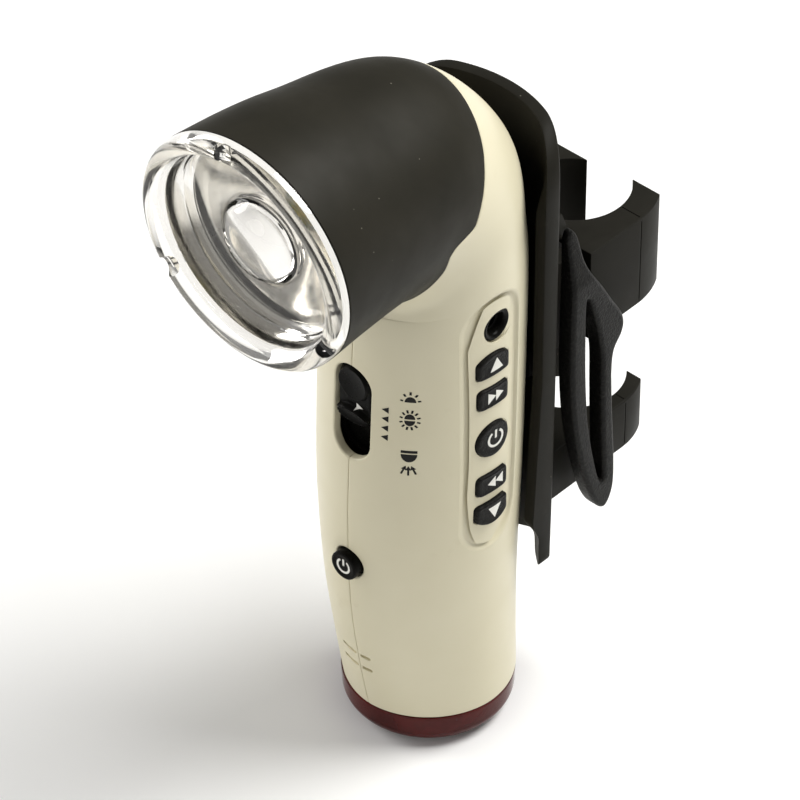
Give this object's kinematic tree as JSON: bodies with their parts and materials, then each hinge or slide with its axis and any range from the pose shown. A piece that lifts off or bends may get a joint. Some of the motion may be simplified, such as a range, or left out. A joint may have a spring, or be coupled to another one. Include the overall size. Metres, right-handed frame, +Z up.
{
  "type": "torch radio",
  "caption": "Right-angle hand torch with a built-in radio, keypad and red tail light, clipped in a cradle with clip-on tube clamps and a rubber strap.",
  "frame": {"origin": "middle of the flat base face that the torch stands on", "axes": "+Z up along the body, -Y the way the torch shines, +X towards the keypad side, +Y towards the tube bracket"},
  "size_m": [0.0574, 0.1217, 0.1949],
  "materials": {
    "ivory_shell": "satin warm ivory ABS",
    "soft_black": "matte soft-touch rubberised black",
    "clear_lens": "clear polycarbonate",
    "seal_rubber": "nitrile rubber",
    "chrome_reflector": "vacuum metallised reflector",
    "led_phosphor": "phosphor-coated emitter",
    "circuit_board": "green glass-fibre laminate",
    "sink_aluminium": "plain machined aluminium",
    "red_lens": "deep red translucent polycarbonate",
    "red_reflector": "moulded red reflector",
    "tail_led": "red LED packages",
    "black_plastic": "fine-textured black plastic",
    "pebble_rubber": "pebbled black rubber",
    "gloss_black": "black plastic",
    "steel": "zinc-plated steel",
    "battery_sleeve": "printed sleeve on a steel can",
    "ferrite": "sintered ferrite with copper winding"
  },
  "bodies": {
    "torch": {"housing_right": "ivory_shell", "housing_left": "ivory_shell", "head_cover": "soft_black", "lens": "clear_lens", "lens_seal": "seal_rubber", "reflector": "chrome_reflector", "focus_lens": "clear_lens", "led_emitter": "led_phosphor", "led_board": "circuit_board", "heat_sink": "sink_aluminium", "tail_lens": "red_lens", "tail_reflector": "red_reflector", "tail_leds": "tail_led", "tail_board": "circuit_board", "base_plate": "black_plastic", "base_screws": "steel", "slot_liner": "gloss_black", "mode_switch": "steel", "front_switch": "steel", "jack_socket": "gloss_black", "key_board": "circuit_board", "key_domes": "steel", "main_board": "circuit_board", "battery_front": "battery_sleeve", "battery_rear": "battery_sleeve", "battery_contacts": "steel", "speaker": "black_plastic", "ferrite_rod": "ferrite", "housing_screws": "steel", "back_stud": "black_plastic"},
    "mode_slider": {"mode_knob": "gloss_black"},
    "front_power": {"front_button": "gloss_black"},
    "key_up_body": {"key_up": "pebble_rubber"},
    "key_forward_body": {"key_forward": "pebble_rubber"},
    "key_power_body": {"key_power": "pebble_rubber"},
    "key_rewind_body": {"key_rewind": "pebble_rubber"},
    "key_down_body": {"key_down": "pebble_rubber"},
    "bracket": {"cradle": "black_plastic", "grip_studs": "seal_rubber", "clamp_upper": "black_plastic", "clamp_lower": "black_plastic", "bracket_spine": "black_plastic", "bracket_screws": "steel", "strap_post": "black_plastic"},
    "strap_loop": {"strap": "pebble_rubber"}
  },
  "joints": [
    {"name": "mode_slide", "type": "slide", "parent": "torch", "child": "mode_slider", "axis": [0, 0, -1], "range_m": [0, 0.0078]},
    {"name": "front_press", "type": "slide", "parent": "torch", "child": "front_power", "axis": [0, 1, 0], "range_m": [0, 0.0012], "stiffness_N_per_m": 900, "springref_m": -0.0008},
    {"name": "key_up_press", "type": "slide", "parent": "torch", "child": "key_up_body", "axis": [-1, 0, 0], "range_m": [0, 0.0008], "stiffness_N_per_m": 1200, "springref_m": -0.0006},
    {"name": "key_forward_press", "type": "slide", "parent": "torch", "child": "key_forward_body", "axis": [-1, 0, 0], "range_m": [0, 0.0008], "stiffness_N_per_m": 1200, "springref_m": -0.0006},
    {"name": "key_power_press", "type": "slide", "parent": "torch", "child": "key_power_body", "axis": [-1, 0, 0], "range_m": [0, 0.0008], "stiffness_N_per_m": 1200, "springref_m": -0.0006},
    {"name": "key_rewind_press", "type": "slide", "parent": "torch", "child": "key_rewind_body", "axis": [-1, 0, 0], "range_m": [0, 0.0008], "stiffness_N_per_m": 1200, "springref_m": -0.0006},
    {"name": "key_down_press", "type": "slide", "parent": "torch", "child": "key_down_body", "axis": [-1, 0, 0], "range_m": [0, 0.0008], "stiffness_N_per_m": 1200, "springref_m": -0.0006},
    {"name": "bracket_slide", "type": "slide", "parent": "torch", "child": "bracket", "axis": [0, 0, -1], "range_m": [0, 0.015]},
    {"name": "strap_swing", "type": "hinge", "parent": "bracket", "child": "strap_loop", "pos_m": [0.0213, 0.0211, 0.133], "axis": [1, 0, 0], "range_deg": [0, 36]}
  ]
}
